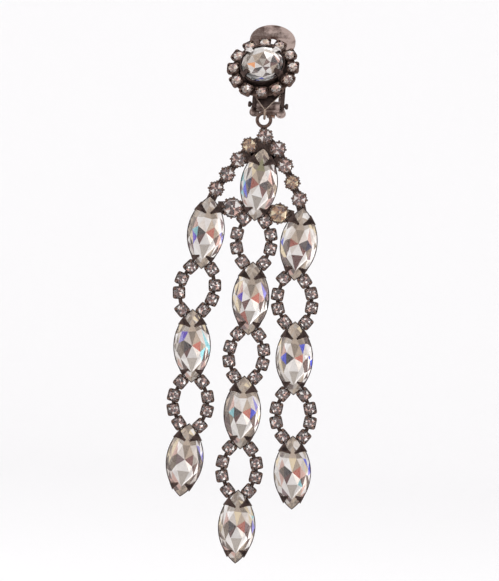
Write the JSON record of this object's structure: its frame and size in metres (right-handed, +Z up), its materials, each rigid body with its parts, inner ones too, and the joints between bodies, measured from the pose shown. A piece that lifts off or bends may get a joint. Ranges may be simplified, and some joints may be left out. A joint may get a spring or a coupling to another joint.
{
  "type": "chandelier earring",
  "caption": "Clip-on chandelier earring: round stone button with a halo of small stones over a V of round stones and three strands of boat-shaped stones joined by open loops.",
  "frame": {"origin": "in the gap between the back plate and the clip's paddle, where the ear lobe goes", "axes": "+Z up as the earring hangs, -Y the side that the stones face, +X to the right seen from the front"},
  "size_m": [0.0383, 0.0292, 0.1371],
  "materials": {
    "dark_metal": "blackened gunmetal, slight gloss, rubbed brown on the prongs",
    "pewter": "antique pewter, mottled with tarnish, coppery where worn",
    "crystal": "clear cut glass, foiled behind, champagne tint"
  },
  "bodies": {
    "button": {"button_setting": "dark_metal", "button_stone": "crystal", "button_halo": "dark_metal", "clip_pin": "pewter"},
    "lever": {"clip_lever": "pewter"},
    "drop": {"crown_frame": "dark_metal", "crown_stone_top": "crystal", "crown_stone_left_1": "crystal", "crown_stone_left_2": "crystal", "crown_stone_left_3": "crystal", "crown_stone_left_4": "crystal", "crown_stone_right_1": "crystal", "crown_stone_right_2": "crystal", "crown_stone_right_3": "crystal", "crown_stone_right_4": "crystal", "medium_stone_left": "crystal", "medium_stone_right": "crystal", "navette_stone_centre": "crystal", "navette_stone_left_1": "crystal", "navette_stone_right_1": "crystal", "navette_setting_middle_1": "dark_metal", "navette_stone_middle_1": "crystal", "navette_setting_middle_2": "dark_metal", "navette_stone_middle_2": "crystal", "navette_setting_middle_3": "dark_metal", "navette_stone_middle_3": "crystal", "navette_setting_left_2": "dark_metal", "navette_stone_left_2": "crystal", "navette_setting_left_3": "dark_metal", "navette_stone_left_3": "crystal", "navette_setting_right_2": "dark_metal", "navette_stone_right_2": "crystal", "navette_setting_right_3": "dark_metal", "navette_stone_right_3": "crystal", "chain_middle_1a": "dark_metal", "chain_middle_1b": "dark_metal", "chain_middle_2a": "dark_metal", "chain_middle_2b": "dark_metal", "chain_middle_3a": "dark_metal", "chain_middle_3b": "dark_metal", "chain_left_1a": "dark_metal", "chain_left_1b": "dark_metal", "chain_left_2a": "dark_metal", "chain_left_2b": "dark_metal", "chain_right_1a": "dark_metal", "chain_right_1b": "dark_metal", "chain_right_2a": "dark_metal", "chain_right_2b": "dark_metal"}
  },
  "joints": [
    {"name": "clip_hinge", "type": "hinge", "parent": "button", "child": "lever", "pos_m": [0, -0.00633, -0.00926], "axis": [-1, 0, 0], "range_deg": [-20, 45]},
    {"name": "drop_swing", "type": "hinge", "parent": "button", "child": "drop", "pos_m": [-0.0007, -0.01092, -0.01152], "axis": [1, 0, 0], "range_deg": [-35, 25]}
  ]
}
